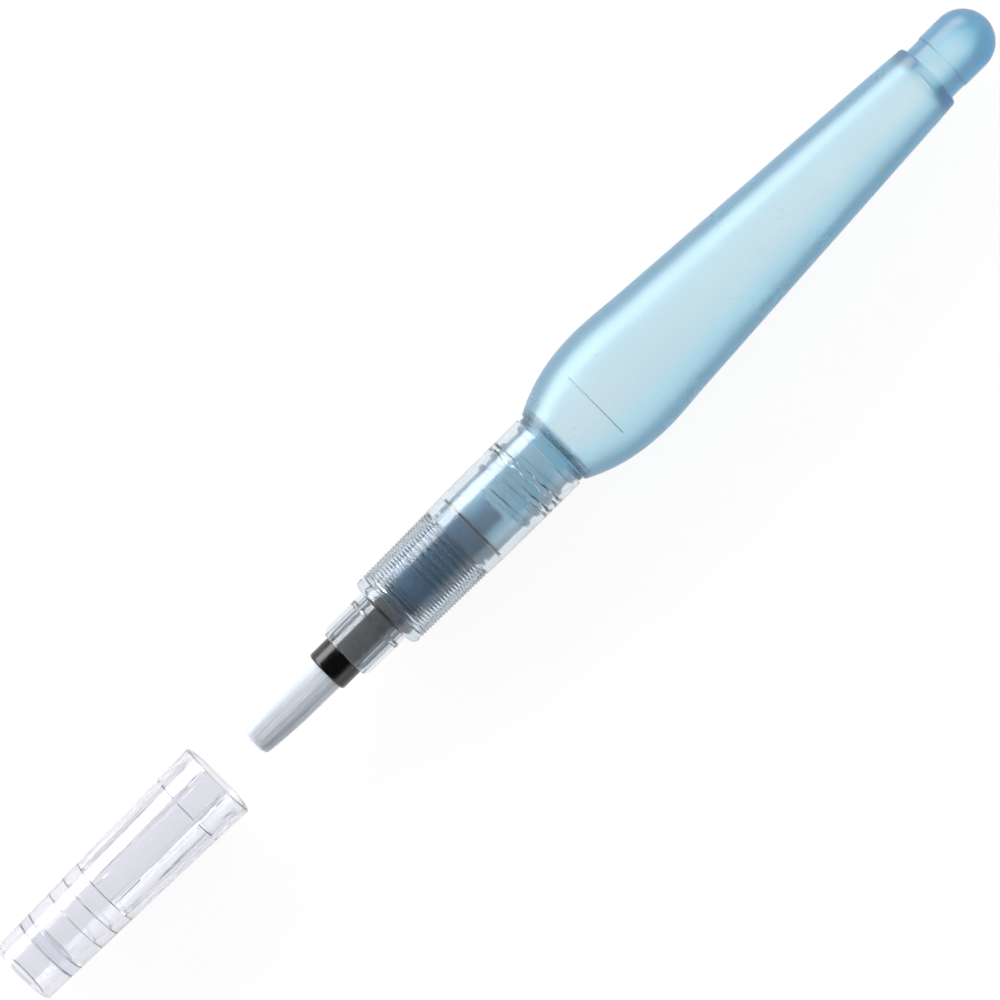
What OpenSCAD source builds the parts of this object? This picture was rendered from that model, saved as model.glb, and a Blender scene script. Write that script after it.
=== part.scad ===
// Refillable water brush pen: a clear cap, a smoky grip section that holds the
// brush, and a squeezable water tank that the section screws onto.
// Modules are drawn along X, measured from the bristle tip towards the tail.
// place() then moves them so that the pen lies on Z = 0, centred in X and Y.

/* [Cap] */
// Length of the cap
cap_len = 38.8; // [36:0.1:44]
// Outer diameter at the cap's mouth
cap_mouth_d = 12.3; // [12.2:0.1:12.6]
// Outer diameter at the cap's small end
cap_end_d = 10.3; // [10.2:0.1:11]
// Wall of the cap
cap_wall = 0.95; // [0.9:0.05:1]
// Depth of the open recess in the cap's small end
cap_recess_depth = 4.8; // [3:0.1:6]
// Diameter of that recess
cap_recess_d = 8.2; // [6:0.1:8.4]
// Thickness of the wall between recess and cavity
cap_divider = 1.4; // [1:0.1:2]
// Grip ribs inside the cap
cap_ribs = 8; // [4:1:10]
// Gap between the cap's mouth and the bristle tip when the cap is off
cap_gap = 7; // [1:0.5:30]

/* [Brush] */
// Bristle length in front of the holder
bristle_show = 14.2; // [12:0.1:16]
// Diameter of the bristle bundle where it leaves the holder
bristle_d = 5.7; // [5.4:0.1:5.8]
// Diameter of the bristle bundle at its blunt tip
bristle_tip_d = 4.5; // [3:0.1:5]
// Holder length in front of the nose
holder_show = 3.65; // [2:0.05:5]
// Outer diameter of the holder
holder_d = 6.66; // [6.5:0.02:6.66]

/* [Grip section] */
// Length of the ribbed nose that the cap grips
nose_len = 7.85; // [7:0.05:9]
// Outer diameter over the nose's ribs
nose_d = 8.78; // [8.4:0.02:8.9]
// Diameter of the nose between its ribs
nose_root_d = 7.7; // [7.5:0.1:8]
// Ribs around the nose
nose_ribs = 8; // [4:1:12]
// Diameter of the bead that the cap's ribs slide over
bead_d = 9; // [8.9:0.02:9]
// Length of the grip, from its shoulder to the seal
grip_len = 17.4; // [17:0.1:20]
// Diameter of the grip's first ring
grip_front_d = 11.9; // [11.6:0.1:12]
// Diameter of the grip's last ring
grip_rear_d = 12.3; // [12:0.1:12.4]
// Rings around the grip
grip_rings = 24; // [12:1:28]
// Depth of the groove between two rings
ring_depth = 0.12; // [0.05:0.01:0.2]
// Length of the threaded sleeve behind the seal
sleeve_len = 15.3; // [15:0.1:18]
// Outer diameter of the sleeve
sleeve_d = 12.54; // [12.4:0.02:12.8]
// Wall of the sleeve
sleeve_wall = 0.65; // [0.6:0.01:0.7]

/* [Thread] */
// Advance of the thread in one turn
pitch = 2.1; // [2:0.05:2.2]
// Turns of thread on the tank's neck
neck_turns = 4; // [3:1:4]
// Turns of thread inside the sleeve
sleeve_turns = 2; // [1:1:2]

/* [Tank] */
// Length of the tank's body, from its front edge to the tail step
tank_len = 74.3; // [65:0.1:90]
// Width of the belly curve's crown, which pulls the side outwards
crown_w = 21.7; // [18:0.1:22]
// Height of the same crown, smaller because the tank is oval
crown_h = 16.1; // [14:0.1:17]
// Wall along the tank's two narrow sides
side_wall = 1.35; // [1:0.05:1.5]
// Wall of the tank's two squeezing faces
face_wall = 0.8; // [0.6:0.05:1]
// Diameter of the tail nub
nub_d = 9.34; // [9:0.02:9.4]
// Length of the tail nub behind the tail step
nub_len = 11.4; // [10:0.1:13]
// Diameter of the cavity inside the nub
nub_bore_d = 5.9; // [5.8:0.1:6.4]
// Wall at the nub's tip
nub_tip_wall = 1.9; // [1.5:0.1:2.5]

/* [Hidden] */
$fn = 96;

fit = 0.02;        // gap of a pressed joint inside the section
eps = 0.01;        // overlap that joins two solids
soft_edge = 0.5;   // rounding of moulded edges
arc_steps = 6;     // chords in a quarter of a moulded edge

// Stations along the pen
holder_x = bristle_show;
nose_x = holder_x + holder_show;
grip_x = nose_x + nose_len;
seal_x = grip_x + grip_len;
sleeve_x = seal_x + sleeve_len;
collar_gap = 0.8;
tank_x = sleeve_x + collar_gap;
step_x = tank_x + tank_len;
end_x = step_x + nub_len;

// Cap cavity
cavity_steps = [10.4, 13.3, 16.2];   // where the cavity widens, from the small end
cavity_step_r = 0.1;
cap_mouth_zone = 6.2;
rib_top_r = 4.55;                    // running fit over the bead
rib_root_r = 5.2;
rib_w = 0.8;
rib_setback = 1;

// Section
shoulder_round = 1.1;
ring_setback = 1.7;                  // smooth stretch in front of the first ring
rings_x = grip_x + ring_setback;
rings_len = 12.5;
ring_flat = 0.55;                    // share of a ring's spacing that is its top
ring_groove = 0.8;                   // share at which its groove is deepest
nose_bore_r = holder_d / 2 + fit;
holder_seat = 8.6;
step_in_x = nose_x + holder_seat;    // inner step that stops the holder's flange
flange_r = 4.5;
flange_len = 1.4;
plug_bore_r = 5;
sleeve_r = sleeve_d / 2 - sleeve_wall;
nose_chamfer = 0.9;
bead_setback = 1.8;
bead_x = grip_x - bead_setback;
bead_len = 0.8;
nose_rib_w = 0.7;
nose_rib_h = 3;                      // cut to the nose's diameter
sleeve_flare = 0.05;                 // how much the band behind the rings widens
sleeve_taper = 3;

// Brush and water path
tuft_r = bristle_d / 2;
tip_round = [0.35, 0.25];            // length and depth of the blunt tip's edge
heel_setback = 0.3;
heel_x = step_in_x + heel_setback;
heel_len = 1.1;
heel_r = 3.15;
wick_r = 0.6;
wick_front = 3;                      // how far the wick reaches into the tuft
plug_gap = 0.1;
plug_x = step_in_x + flange_len + plug_gap;
plug_boss_r = 3;
plug_boss_len = 2.6;
plug_cup_r = 3.6;
plug_front_wall = 5;
plug_cup_x = plug_x + plug_front_wall;
plug_fins = 9;
plug_fin_depth = 0.5;
filter_len = 2.2;
nozzle_r = 2.2;
nozzle_bore_r = 1.2;
nozzle_flange_len = 1.5;
nozzle_reach = 4.3;                  // how far the nozzle stands out behind the seal's seat
seal_len = 0.4;
seal_gap = 0.04;                     // clear on both sides of the seal ring

// Neck and thread
neck_x = seal_x + seal_len;
neck_r = 4.95;
neck_bore_r = 4.1;
collar_r = 6.04;
collar_x = sleeve_x + 0.1;
pilot_r = 5.5;
pilot_len = 1.2;
pilot_x = sleeve_x - pilot_len;
pilot_lead = 0.3;
thread_setback = 4.5;
neck_thread_x = neck_x + thread_setback;
sleeve_thread_x = neck_thread_x + 1.5 * pitch;
thread_base = 0.6;                   // half width of a thread at its root
thread_top = 0.28;                   // half width at its crest
neck_crest_r = 5.42;
sleeve_crest_r = 5.1;
thread_bury = 0.1;                   // how deep a ridge's root lies in its wall
steps_per_turn = 24;

// Tank outline: one curve round the belly, then a straight taper. The lists hold
// the curve's four control points: widths, heights and distances behind the front edge.
belly_len = 20.8;
belly_w = [12.7, crown_w, 18.454, 17.922];
belly_h = [12.4, crown_h, 14.952, 14.6];
belly_xs = [0, 8.3, belly_len - 4, belly_len];
tail_w = 10.8;
tail_h = 9.9;
tank_sides = 36;
belly_rings = 12;
taper_rings = 5;
front_wall = 2;
tail_wall = 1.2;
nub_cavity_end = end_x - nub_tip_wall - nub_bore_d / 2;

function bezier(p, t) = p[0] * pow(1 - t, 3) + 3 * p[1] * t * pow(1 - t, 2)
    + 3 * p[2] * pow(t, 2) * (1 - t) + p[3] * pow(t, 3);

// Each ring is [x, half width, half height] on the tank's outer surface
tank_rings = concat(
    [[tank_x, belly_w[0] / 2 - soft_edge / 2, belly_h[0] / 2 - soft_edge / 4]],
    [for (i = [0 : belly_rings]) let (t = i / belly_rings)
        [tank_x + soft_edge / 4 + bezier(belly_xs, t), bezier(belly_w, t) / 2, bezier(belly_h, t) / 2]],
    [for (i = [1 : taper_rings]) let (t = i / taper_rings)
        [tank_x + belly_len + t * (tank_len - belly_len - soft_edge),
         (belly_w[3] + t * (tail_w - belly_w[3])) / 2, (belly_h[3] + t * (tail_h - belly_h[3])) / 2]],
    [for (a = [30 : 30 : 90])
        [step_x - soft_edge + soft_edge * sin(a), tail_w / 2 - soft_edge * (1 - cos(a)),
         tail_h / 2 - soft_edge * (1 - cos(a))]]
);
inner_rings = concat(
    [for (r = tank_rings) if (r[0] > tank_x + front_wall && r[0] < step_x - 2 * tail_wall)
        [r[0], r[1] - side_wall, r[2] - face_wall]],
    [[step_x - tail_wall, tail_w / 2 - side_wall, tail_h / 2 - face_wall]]
);

belly_bottom = max([for (r = tank_rings) r[2]]);
mid_x = (end_x - cap_gap - cap_len) / 2;

module place() {
    translate([-mid_x, 0, belly_bottom]) children();
}

// Turns an outline of [x, radius] points round the X axis
module turned(outline) {
    rotate([0, 90, 0]) rotate_extrude() polygon([for (p = outline) [p[1], p[0]]]);
}

module rod(x, length, r) {
    translate([x, 0, 0]) rotate([0, 90, 0]) cylinder(h = length, r = r);
}

function arc(x, r, radius, from, to) = [for (i = [0 : arc_steps])
    let (a = from + (to - from) * i / arc_steps) [x + radius * cos(a), r + radius * sin(a)]];

// Joins a row of rings with the same number of points into one closed solid
module skin(rings) {
    sides = len(rings[0]);
    count = len(rings);
    points = [for (ring = rings, p = ring) p];
    walls = [for (i = [0 : count - 2], j = [0 : sides - 1])
        let (a = i * sides + j, b = i * sides + (j + 1) % sides)
        each [[a, b, a + sides], [b, b + sides, a + sides]]];
    front = [for (j = [sides - 1 : -1 : 0]) j];
    back = [for (j = [0 : sides - 1]) (count - 1) * sides + j];
    polyhedron(points, concat([front], walls, [back]));
}

module oval_loft(rings) {
    skin([for (r = rings) [for (j = [0 : tank_sides - 1]) let (a = -360 * j / tank_sides)
        [r[0], r[1] * cos(a), r[2] * sin(a)]]]);
}

// One right-handed ridge from root_r to crest_r, faded out at both ends
module thread(x, turns, root_r, crest_r) {
    steps = turns * steps_per_turn;
    turn_in = crest_r > root_r ? 1 : -1;
    skin([for (i = [0 : steps])
        let (a = 360 * i / steps_per_turn, mid = x + pitch * i / steps_per_turn,
             fade = min(1, 0.2 + i / 3, 0.2 + (steps - i) / 3),
             top_r = root_r + fade * (crest_r - root_r),
             base = turn_in * thread_base, top = turn_in * thread_top)
        [for (q = [[-base, root_r], [-top, top_r], [top, top_r], [base, root_r]])
            [mid + q[0], q[1] * cos(a), q[1] * sin(a)]]]);
}

module cap() {
    color([0.9, 0.91, 0.95]) translate([-cap_gap - cap_len, 0, 0]) {
        difference() {
            turned(concat([[0, 0]], arc(soft_edge, cap_end_d / 2 - soft_edge, soft_edge, 180, 90),
                arc(cap_len - soft_edge, cap_mouth_d / 2 - soft_edge, soft_edge, 90, 0),
                [[cap_len, 0]]));
            rod(-eps, cap_recess_depth + eps, cap_recess_d / 2);
            turned(cavity_outline());
        }
        for (i = [0 : cap_ribs - 1]) rotate([(i + 0.5) * 360 / cap_ribs, 0, 0]) cap_rib();
    }
}

function cap_r(x) = cap_end_d / 2 + x / cap_len * (cap_mouth_d - cap_end_d) / 2;

function cavity_outline() = let (start = cap_recess_depth + cap_divider,
    mouth = cap_len - cap_mouth_zone, last = len(cavity_steps) - 1,
    edges = concat([start], cavity_steps))
    concat([[start, 0]],
        [for (i = [0 : last]) let (r = cap_r(edges[i]) - cap_wall - cavity_step_r / 2)
            each [[edges[i], r], [edges[i + 1], r + cavity_step_r / 4]]],
        [[cavity_steps[last], cap_r(cavity_steps[last]) - cap_wall], [mouth, cap_r(mouth) - cap_wall],
         [mouth, cap_r(mouth) - cap_wall + cavity_step_r], [cap_len + eps, cap_r(cap_len) - cap_wall],
         [cap_len + eps, 0]]);

module cap_rib() {
    x = cavity_steps[1];
    translate([x, -rib_w / 2, rib_top_r]) cube([cap_len - rib_setback - x, rib_w, rib_root_r - rib_top_r]);
}

module section() {
    color([0.36, 0.43, 0.5]) {
        difference() {
            union() {
                turned(section_outline());
                intersection() {
                    turned([[nose_x, 0], [nose_x, nose_root_d / 2],
                        [nose_x + nose_chamfer, nose_d / 2], [grip_x + eps, nose_d / 2], [grip_x + eps, 0]]);
                    for (i = [0 : nose_ribs - 1]) rotate([i * 360 / nose_ribs, 0, 0])
                        translate([nose_x, -nose_rib_w / 2, nose_bore_r]) cube([nose_len + eps, nose_rib_w, nose_rib_h]);
                }
                rod(bead_x - bead_len / 2, bead_len, bead_d / 2);
            }
            rod(nose_x - eps, grip_len + nose_len, nose_bore_r);
            rod(step_in_x, flange_len + plug_gap, flange_r + fit);
            rod(plug_x, seal_x - plug_x + eps, plug_bore_r);
            rod(seal_x - seal_gap, sleeve_len + 1, sleeve_r);
        }
        thread(sleeve_thread_x, sleeve_turns, sleeve_r + 1.5 * thread_bury, sleeve_crest_r);
    }
}

function section_outline() = let (ring = rings_len / grip_rings,
    flare = (grip_rear_d - grip_front_d) / 2 / grip_rings)
    concat([[nose_x, 0], [nose_x, nose_root_d / 2], [grip_x, nose_root_d / 2]],
        arc(grip_x + shoulder_round, grip_front_d / 2 - shoulder_round, shoulder_round, 180, 90),
        [for (i = [0 : grip_rings - 1]) let (x = rings_x + i * ring, r = grip_front_d / 2 + i * flare)
            each [[x, r], [x + ring_flat * ring, r], [x + ring_groove * ring, r - ring_depth]]],
        [[rings_x + rings_len, grip_rear_d / 2], [seal_x, grip_rear_d / 2 + sleeve_flare],
         [seal_x + sleeve_taper, sleeve_d / 2]],
        arc(sleeve_x - soft_edge / 2, sleeve_d / 2 - soft_edge / 2, soft_edge / 2, 90, 0),
        [[sleeve_x, 0]]);

module brush_holder() {
    color([0.04, 0.04, 0.045]) difference() {
        union() {
            turned(concat([[holder_x, 0]],
                arc(holder_x + soft_edge, holder_d / 2 - soft_edge, soft_edge, 180, 90),
                [[step_in_x + eps, holder_d / 2], [step_in_x + eps, 0]]));
            rod(step_in_x, flange_len, flange_r);
        }
        rod(holder_x - eps, flange_len + step_in_x, tuft_r + fit);
        rod(heel_x, flange_len, heel_r + fit);
    }
}

module bristle_tuft() {
    color([0.88, 0.9, 0.93]) difference() {
        turned([[0, 0], [0, bristle_tip_d / 2 - tip_round[1]], [tip_round[0], bristle_tip_d / 2],
            [bristle_show / 2, tuft_r], [heel_x, tuft_r], [heel_x, 0]]);
        rod(heel_x - wick_front - fit, wick_front + 1, wick_r + fit);
    }
}

module tuft_heel() {
    color([0.78, 0.79, 0.76]) difference() {
        rod(heel_x, heel_len, heel_r);
        rod(heel_x - 1, heel_len + 2, wick_r + fit);
    }
}

module feed_wick() {
    color([0.93, 0.93, 0.9]) rod(heel_x - wick_front, plug_cup_x + wick_front - heel_x, wick_r);
}

module flow_plug() {
    fin = (seal_x - plug_cup_x - 1) / plug_fins;
    color([0.13, 0.15, 0.18]) difference() {
        union() {
            rod(plug_x, plug_boss_len + eps, plug_boss_r);
            rod(plug_x + plug_boss_len, seal_x - seal_gap - plug_x - plug_boss_len, plug_bore_r - fit);
        }
        for (i = [0 : plug_fins - 1]) difference() {
            rod(plug_cup_x + i * fin, fin / 2, plug_bore_r);
            rod(plug_cup_x + i * fin - 1, fin + 2, plug_bore_r - plug_fin_depth);
        }
        rod(plug_x - 1, plug_cup_x - plug_x + 2, wick_r + fit);
        rod(plug_cup_x, seal_x - plug_cup_x, plug_cup_r);
    }
}

module filter_disc() {
    color([0.85, 0.86, 0.82]) rod(plug_cup_x + fit, filter_len, plug_cup_r - fit);
}

module plug_nozzle() {
    flange_x = seal_x - seal_gap - nozzle_flange_len;
    color([0.4, 0.5, 0.56]) difference() {
        union() {
            rod(flange_x, nozzle_flange_len, plug_cup_r - fit);
            rod(flange_x, seal_x + nozzle_reach - flange_x, nozzle_r);
        }
        rod(flange_x - 1, seal_x + nozzle_reach - flange_x + 2, nozzle_bore_r);
    }
}

module seal_ring() {
    color([0.03, 0.03, 0.03]) difference() {
        rod(seal_x, seal_len - seal_gap, sleeve_r - 0.04);
        rod(seal_x - 1, seal_len + 2, neck_bore_r);
    }
}

module tank() {
    color([0.71, 0.87, 0.92]) {
        difference() {
            union() {
                oval_loft(tank_rings);
                turned([[neck_x, 0], [neck_x, neck_r - soft_edge / 2], [neck_x + soft_edge / 2, neck_r],
                    [pilot_x, neck_r], [pilot_x + pilot_lead, pilot_r], [collar_x, pilot_r],
                    [collar_x, collar_r], [tank_x + 1, collar_r], [tank_x + 1, 0]]);
                thread(neck_thread_x, neck_turns, neck_r - thread_bury, neck_crest_r);
                rod(step_x - 1, nub_len + 1 - nub_d / 2, nub_d / 2);
                translate([end_x - nub_d / 2, 0, 0]) sphere(r = nub_d / 2);
            }
            rod(neck_x - 1, tank_x - neck_x + 2 * front_wall, neck_bore_r);
            oval_loft(inner_rings);
            rod(step_x - 2 * tail_wall, nub_cavity_end - step_x + 2 * tail_wall, nub_bore_d / 2);
            translate([nub_cavity_end, 0, 0]) sphere(r = nub_bore_d / 2);
        }
    }
}

place() cap();
place() section();
place() brush_holder();
place() bristle_tuft();
place() tuft_heel();
place() feed_wick();
place() flow_plug();
place() filter_disc();
place() plug_nozzle();
place() seal_ring();
place() tank();
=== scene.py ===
import math
from collections import namedtuple

import bmesh
import bpy
from bpy.props import FloatProperty, FloatVectorProperty, IntProperty, PointerProperty
from mathutils import Matrix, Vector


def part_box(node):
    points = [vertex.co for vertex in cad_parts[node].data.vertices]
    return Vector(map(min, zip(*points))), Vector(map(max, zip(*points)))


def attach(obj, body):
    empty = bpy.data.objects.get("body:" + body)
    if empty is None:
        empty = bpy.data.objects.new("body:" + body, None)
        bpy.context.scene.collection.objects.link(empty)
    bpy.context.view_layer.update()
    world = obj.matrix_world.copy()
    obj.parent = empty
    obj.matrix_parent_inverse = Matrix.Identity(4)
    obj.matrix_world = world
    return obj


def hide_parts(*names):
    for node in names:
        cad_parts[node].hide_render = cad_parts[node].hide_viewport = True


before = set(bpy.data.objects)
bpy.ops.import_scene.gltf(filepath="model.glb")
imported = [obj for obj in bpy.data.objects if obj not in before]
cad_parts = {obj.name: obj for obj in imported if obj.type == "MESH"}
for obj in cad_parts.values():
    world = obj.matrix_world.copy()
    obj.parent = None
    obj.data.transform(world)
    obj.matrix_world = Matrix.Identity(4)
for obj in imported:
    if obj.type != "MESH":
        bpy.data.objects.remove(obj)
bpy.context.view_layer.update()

bl_info = {
    "name": "Water brush pen",
    "version": (1, 0, 0),
    "blender": (4, 5, 0),
    "location": "3D View > Sidebar > Water brush",
    "description": "Builds a refillable water brush pen round its packed frame",
    "category": "Add Mesh",
}

MM = 0.001
PER_MM = 1 / MM
AXIS_Z = sum(corner.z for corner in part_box("cap")) / 2
SHARP_ANGLE = math.radians(32)
GOLDEN_ANGLE = math.pi * (3 - math.sqrt(5))
# The least distance between two rings of a shell, which makes a square step between them
HAIR = 0.02 * MM
# The part of a turn over which a thread rises at its start and falls at its end
THREAD_FADE = 0.33

# One ring of a shell: its place along the pen, its half width and half height,
# and how the trees treat it: the sign says which way ribs or thread stand up.
Station = namedtuple("Station", "x y z ribs rings thread", defaults=(0, 0, 0))


def linear(code):
    """sRGB hex to a linear colour with full alpha."""
    parts = [int(code[i:i + 2], 16) / 255 for i in (1, 3, 5)]
    return tuple(p / 12.92 if p <= 0.04045 else ((p + 0.055) / 1.055) ** 2.4 for p in parts) + (1,)


def length(label, text, millimetres):
    """A size that shows in the sidebar in the scene's units."""
    return FloatProperty(name=label, description=text, default=millimetres * MM, unit="LENGTH", precision=5)


def tint(label, text, code):
    """A colour that shows in the sidebar."""
    return FloatVectorProperty(name=label, description=text, default=linear(code), subtype="COLOR",
                               size=4, min=0, max=1)


# Settings


class CapSettings(bpy.types.PropertyGroup):
    end_radius: length("End radius", "Outer radius at the cap's small end", 5.15)
    wall: length("Wall", "Wall thickness", 0.95)
    edge: length("Edge", "Rounding of the moulded edges", 0.5)
    recess_radius: length("Recess radius", "Radius of the open recess in the small end", 4.1)
    recess_depth: length("Recess depth", "Depth of that recess", 4.8)
    divider: length("Divider", "Thickness of the wall between recess and cavity", 1.4)
    first_step: length("First step", "Place of the first widening of the cavity, from the small end", 10.4)
    step_gap: length("Step gap", "Distance from one widening to the next", 2.9)
    step_depth: length("Step depth", "How much each step widens the cavity", 0.2)
    mouth_zone: length("Mouth zone", "Length of the wider bore at the mouth", 6.2)
    ribs: IntProperty(name="Ribs", description="Grip ribs inside the cap", default=8, min=3)
    rib_radius: length("Rib radius", "Distance of the ribs' tops from the axis", 4.55)
    rib_width: length("Rib width", "Width of each rib's top", 0.73)
    rib_setback: length("Rib setback", "Distance of the ribs from the mouth", 1.0)
    rib_fade: length("Rib fade", "Length of the slope at each rib's end near the mouth", 3.0)
    absorption: tint("Tint", "What a long path through the plastic leaves", "#DADCEB")
    haze: tint("Haze", "Colour of the light that the plastic scatters", "#F6F6F9")


class SectionSettings(bpy.types.PropertyGroup):
    nose_length: length("Nose length", "Length of the ribbed nose", 7.85)
    nose_radius: length("Nose radius", "Radius of the nose between its ribs", 3.85)
    ribs: IntProperty(name="Ribs", description="Ribs round the nose", default=8, min=3)
    rib_radius: length("Rib radius", "Radius over the nose's ribs", 4.39)
    rib_width: length("Rib width", "Width of each rib's top", 0.7)
    rib_ramp: length("Rib ramp", "Length of the slope at each rib's front end", 0.9)
    bead_radius: length("Bead radius", "Radius of the bead that snaps into the cap", 4.5)
    bead_setback: length("Bead setback", "Distance of the bead from the shoulder", 1.8)
    shoulder: length("Shoulder", "Rounding of the grip's front edge", 1.1)
    front_radius: length("Front radius", "Radius of the first grip ring", 5.95)
    rear_radius: length("Rear radius", "Radius of the last grip ring", 6.15)
    rings_start: length("Rings start", "Smooth stretch before the first ring", 1.7)
    rings_length: length("Rings length", "Length of the ringed stretch", 12.5)
    rings: IntProperty(name="Rings", description="Rings round the grip", default=24, min=1)
    ring_depth: length("Ring depth", "Depth of the groove between rings", 0.2)
    sleeve_bore: length("Sleeve bore", "Inner radius of the threaded sleeve", 5.62)
    plug_bore: length("Plug bore", "Radius of the bore that holds the plug", 5.0)
    flange_bore: length("Flange bore", "Radius of the bore for the holder's flange", 4.52)
    nose_bore: length("Nose bore", "Radius of the bore through the nose", 3.35)
    crest_radius: length("Crest radius", "Radius at the crest of the inner thread", 5.34)
    thread_turns: IntProperty(name="Thread turns", description="Turns of inner thread", default=2, min=1)
    absorption: tint("Tint", "What a long path through the plastic leaves", "#74A9CC")
    haze: tint("Haze", "Colour of the light that the plastic scatters", "#F4F9FC")


class BrushSettings(bpy.types.PropertyGroup):
    lip: length("Lip", "Rounding of the holder's front edge", 0.5)
    lip_wall: length("Lip wall", "Wall of the holder at its mouth", 0.44)
    holder_radius: length("Holder radius", "Outer radius of the holder", 3.33)
    flange: length("Flange", "Length of the flange at the holder's rear end", 1.4)
    seat_radius: length("Seat radius", "Radius of the wider bore in the flange", 3.17)
    seat_depth: length("Seat depth", "Depth of that bore", 1.1)
    root_radius: length("Root radius", "Radius of the tuft where it leaves the holder", 2.86)
    tip_radius: length("Tip radius", "Radius of the tuft at its blunt tip", 2.22)
    hairs: IntProperty(name="Hairs", description="Filaments in the tuft", default=1500, min=1)
    hair_radius: length("Hair radius", "Radius of one filament at its root", 0.062)
    raggedness: length("Raggedness", "Spread of the filaments' ends", 0.55)
    stray: length("Stray", "How far a filament wanders from its row", 0.12)
    hidden: length("Hidden", "Length of the filaments inside the holder", 2.2)
    seed: IntProperty(name="Seed", description="Seed of the filaments' scatter", default=7)
    nylon: tint("Nylon", "Colour of the filaments", "#E0E5EB")
    nylon_shade: tint("Nylon shade", "Colour of the darkest filaments", "#B4BCC5")
    holder: tint("Holder", "Colour of the holder", "#030304")


class WaterSettings(bpy.types.PropertyGroup):
    plug: tint("Plug", "Colour of the flow plug", "#4A7896")
    nozzle: tint("Nozzle", "Colour of the nozzle behind the plug", "#86BEE0")
    heel: tint("Heel", "Colour of the fused nylon root", "#C9CBC4")
    wick: tint("Wick", "Colour of the bonded wick", "#EDEDE6")
    felt: tint("Felt", "Colour of the filter felt", "#DADCD2")
    rubber: tint("Rubber", "Colour of the seal", "#08080A")


class TankSettings(bpy.types.PropertyGroup):
    side_wall: length("Side wall", "Wall along the tank's two narrow sides", 1.05)
    face_wall: length("Face wall", "Wall of the tank's two squeezing faces", 0.35)
    neck_radius: length("Neck radius", "Radius of the neck under its thread", 4.95)
    neck_bore: length("Neck bore", "Radius of the neck's bore", 4.35)
    crest_radius: length("Crest radius", "Radius at the crest of the neck's thread", 5.42)
    thread_turns: IntProperty(name="Thread turns", description="Turns of thread on the neck",
                              default=4, min=1)
    thread_setback: length("Thread setback", "Distance of the thread from the neck's end", 4.5)
    pilot_radius: length("Pilot radius", "Radius of the neck's plain end inside the sleeve", 5.5)
    pilot_length: length("Pilot length", "Length of that plain end", 1.2)
    collar_radius: length("Collar radius", "Radius of the collar behind the sleeve", 5.95)
    collar_gap: length("Collar gap", "Distance from the sleeve to the tank's body", 0.8)
    body_length: length("Body length", "Length from the front edge to the tail step", 74.3)
    belly_length: length("Belly length", "Length of the curved part of the body", 20.8)
    front_pull: length("Front pull", "Reach of the belly's curve from the front edge", 8.3)
    belly_pull: length("Belly pull", "Reach of the belly's curve from its rear end", 4.0)
    front_width: length("Front width", "Half width at the front edge", 6.35)
    front_height: length("Front height", "Half height at the front edge", 6.2)
    crown_width: length("Crown width", "Half width that the belly's curve pulls towards", 10.85)
    crown_height: length("Crown height", "Half height that the belly's curve pulls towards", 8.05)
    belly_width: length("Belly width", "Half width where the straight taper starts", 8.961)
    belly_height: length("Belly height", "Half height where the straight taper starts", 7.3)
    tail_width: length("Tail width", "Half width at the tail step", 5.4)
    tail_height: length("Tail height", "Half height at the tail step", 4.95)
    edge: length("Edge", "Rounding of the body's edges", 0.5)
    nub_radius: length("Nub radius", "Radius of the tail nub", 4.67)
    nub_neck: length("Nub neck", "How much thinner the nub is beside the step", 0.14)
    nub_neck_length: length("Nub neck length", "Length of that thinner stretch", 2.6)
    nub_cavity_width: length("Nub cavity width", "Half width of the cavity inside the nub", 3.2)
    nub_cavity_height: length("Nub cavity height", "Half height of the cavity inside the nub", 4.1)
    shoulder: length("Shoulder", "How far inside the neck its bore starts to widen", 0.6)
    end_wall: length("End wall", "Wall at the tail end of the body", 1.2)
    nub_tip_wall: length("Nub tip wall", "Wall at the tip of the nub", 1.4)
    nub_tip_length: length("Nub tip length", "Length of the rounded end of the nub's cavity", 4.4)
    line_place: length("Line place", "Distance of the fill line from the front edge", 8.3)
    line_reach: length("Line reach", "Half length of the fill line", 5.4)
    line_width: length("Line width", "Width of the fill line", 0.17)
    absorption: tint("Tint", "What a long path through the plastic leaves", "#48D2EC")
    haze: tint("Haze", "Colour of the light that the plastic scatters", "#FDFEFE")
    line: tint("Fill line", "Colour of the fill line", "#93AAB0")


class ThreadSettings(bpy.types.PropertyGroup):
    pitch: length("Pitch", "Advance of the thread in one turn", 2.1)
    base: length("Base", "Half width of the ridge at its root", 0.6)
    top: length("Top", "Half width of the ridge at its crest", 0.25)


class StageSettings(bpy.types.PropertyGroup):
    view_width: length("View width", "Width of the picture at the height of the pen's axis", 140.6)
    view_centre: length("View centre", "Place along the pen at the middle of the picture", -0.85)
    distance: length("Distance", "Height of the camera over the axis", 700)
    turn: FloatProperty(name="Turn", description="Angle of the pen in the picture", subtype="ANGLE",
                        default=math.radians(44.74))
    floor_colour: tint("Floor", "Colour of the floor", "#FCFCFC")
    horizon: tint("Horizon", "Light of the studio's walls", "#F4F5F7")
    ceiling: tint("Ceiling", "Light of the studio's ceiling", "#2C2D30")
    flags: tint("Flags", "Light of the dark flags beyond both ends of the pen", "#46484C")
    key: FloatProperty(name="Key", description="Brightness of the main soft box, 1 being the floor's",
                       default=6.0)
    fill: FloatProperty(name="Fill", description="Brightness of the fill soft box", default=0.6)
    top: FloatProperty(name="Top", description="Brightness of the diffuser overhead", default=0.9)


# Trees and nodes


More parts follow.
